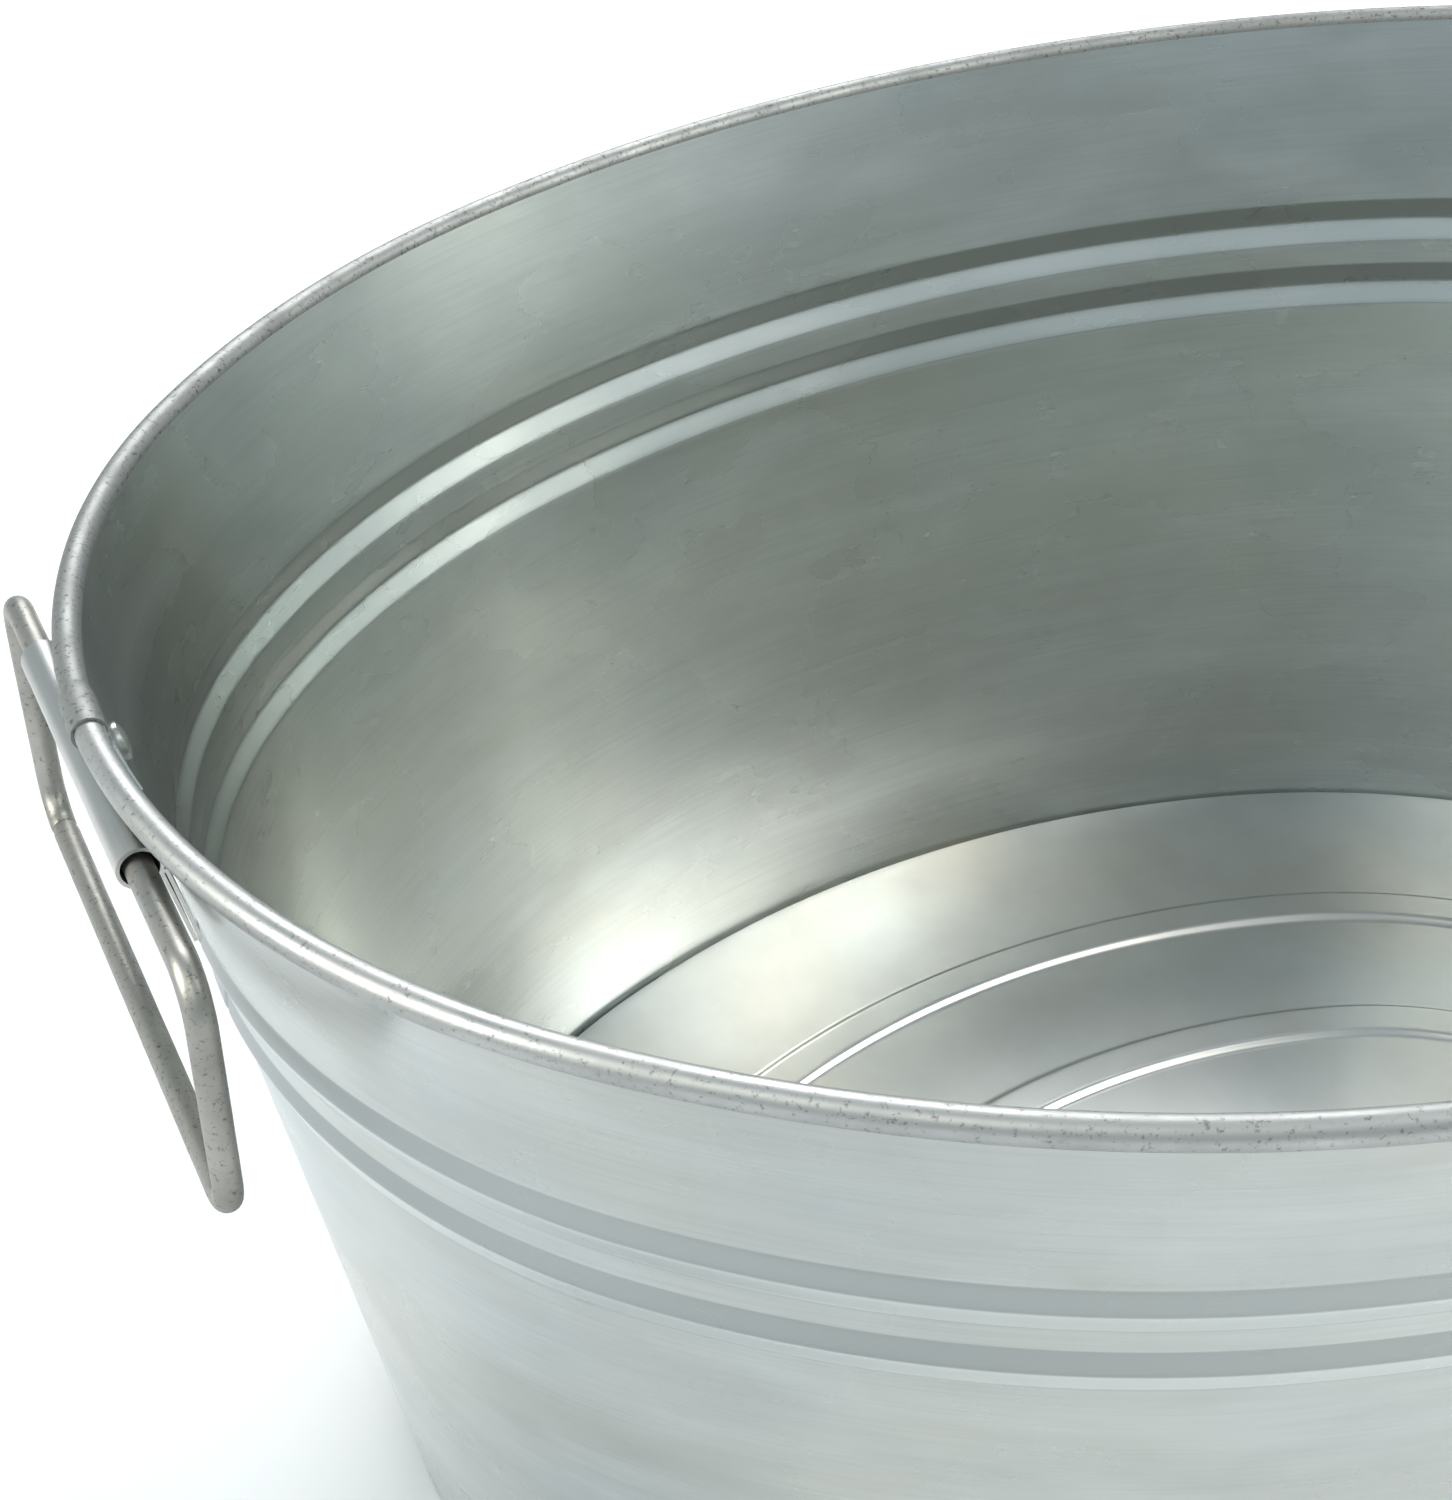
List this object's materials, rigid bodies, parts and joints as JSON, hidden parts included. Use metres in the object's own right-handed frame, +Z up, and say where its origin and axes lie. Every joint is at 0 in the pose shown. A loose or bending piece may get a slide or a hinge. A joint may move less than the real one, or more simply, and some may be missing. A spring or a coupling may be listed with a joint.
{
  "type": "water trough",
  "caption": "Oval galvanised steel tub with a wired rim, two pressed wall beads, stamped floor rings and a swinging wire drop handle at each end, for watering livestock",
  "frame": {"origin": "on the ground, under the middle of the tub", "axes": "+X runs along the tub's long axis to the right-hand handle, +Y to the rear side, +Z up"},
  "size_m": [0.6956, 0.517, 0.3204],
  "materials": {
    "galvanised_wall": "hot-dip galvanised sheet with a fine grain, smudges and light scratches",
    "rim_wire_steel": "drawn steel wire, hidden inside the rolled rim",
    "galvanised_floor": "hot-dip galvanised sheet, paler and a little warmer than the wall, with smears",
    "galvanised_ear": "galvanised strip with bright cut edges",
    "rivet_steel": "zinc-plated rivet steel, slightly dull",
    "handle_wire_steel": "dull galvanised wire with dark specks and scratches"
  },
  "bodies": {
    "tub": {"front_wall_sheet": "galvanised_wall", "rear_wall_sheet": "galvanised_wall", "rim_wire": "rim_wire_steel", "bottom_pan": "galvanised_floor", "left_ear": "galvanised_ear", "right_ear": "galvanised_ear", "left_ear_rivets": "rivet_steel", "right_ear_rivets": "rivet_steel"},
    "left_handle": {"left_handle": "handle_wire_steel"},
    "right_handle": {"right_handle": "handle_wire_steel"}
  },
  "joints": [
    {"name": "left_handle_swing", "type": "hinge", "parent": "tub", "child": "left_handle", "pos_m": [-0.34081, 0.005, 0.3054], "axis": [0, 1, 0], "range_deg": [-13, 208]},
    {"name": "right_handle_swing", "type": "hinge", "parent": "tub", "child": "right_handle", "pos_m": [0.34081, 0.005, 0.3054], "axis": [0, -1, 0], "range_deg": [-13, 208]}
  ]
}
